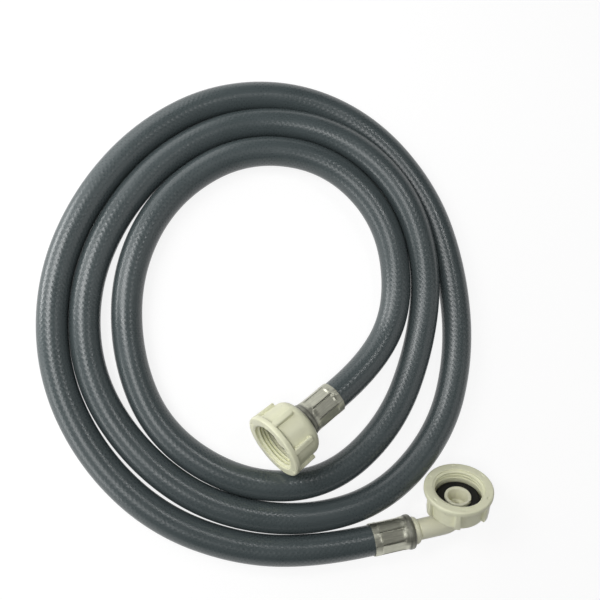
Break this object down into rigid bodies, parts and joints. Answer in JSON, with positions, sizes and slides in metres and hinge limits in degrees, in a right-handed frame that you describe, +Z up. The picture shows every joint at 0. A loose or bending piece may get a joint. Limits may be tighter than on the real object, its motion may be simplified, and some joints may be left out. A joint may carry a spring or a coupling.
{
  "type": "braid reinforced supply hose",
  "caption": "Braid-reinforced flexible water supply hose in a loose coil, with a straight and an elbow end, crimped ferrules, rubber washers and free-turning union nuts.",
  "frame": {"origin": "on the floor under the middle of the whole part's bounding box", "axes": "+Z up from the floor; the elbow end leaves the coil towards +X at the -Y side; the coil lies in the XY plane"},
  "size_m": [0.2318, 0.2548, 0.0406],
  "materials": {
    "liner_pvc": "smooth extruded",
    "braid_yarn": "crossed polyester yarns",
    "cover_pvc": "semi-matte extruded cover with a faint cell texture of the braid beneath",
    "ferrule_metal": "drawn and crimped, dull",
    "tail_plastic": "moulded, satin",
    "washer_rubber": "matte",
    "nut_plastic": "moulded, satin"
  },
  "bodies": {
    "hose": {"hose_liner": "liner_pvc", "hose_braid": "braid_yarn", "hose_cover": "cover_pvc", "straight_ferrule": "ferrule_metal", "straight_tail": "tail_plastic", "straight_washer": "washer_rubber", "elbow_ferrule": "ferrule_metal", "elbow_tail": "tail_plastic", "elbow_washer": "washer_rubber"},
    "straight_nut": {"straight_nut": "nut_plastic"},
    "elbow_nut": {"elbow_nut": "nut_plastic"}
  },
  "joints": [
    {"name": "straight_nut_swivel", "type": "hinge", "parent": "hose", "child": "straight_nut", "pos_m": [0.00066, -0.06731, 0.02345], "axis": [-0.7787, -0.589, 0.2163], "continuous": true},
    {"name": "elbow_nut_swivel", "type": "hinge", "parent": "hose", "child": "elbow_nut", "pos_m": [0.09674, -0.0882, 0.02415], "axis": [-0.1394, 0.7756, 0.6157], "continuous": true}
  ]
}
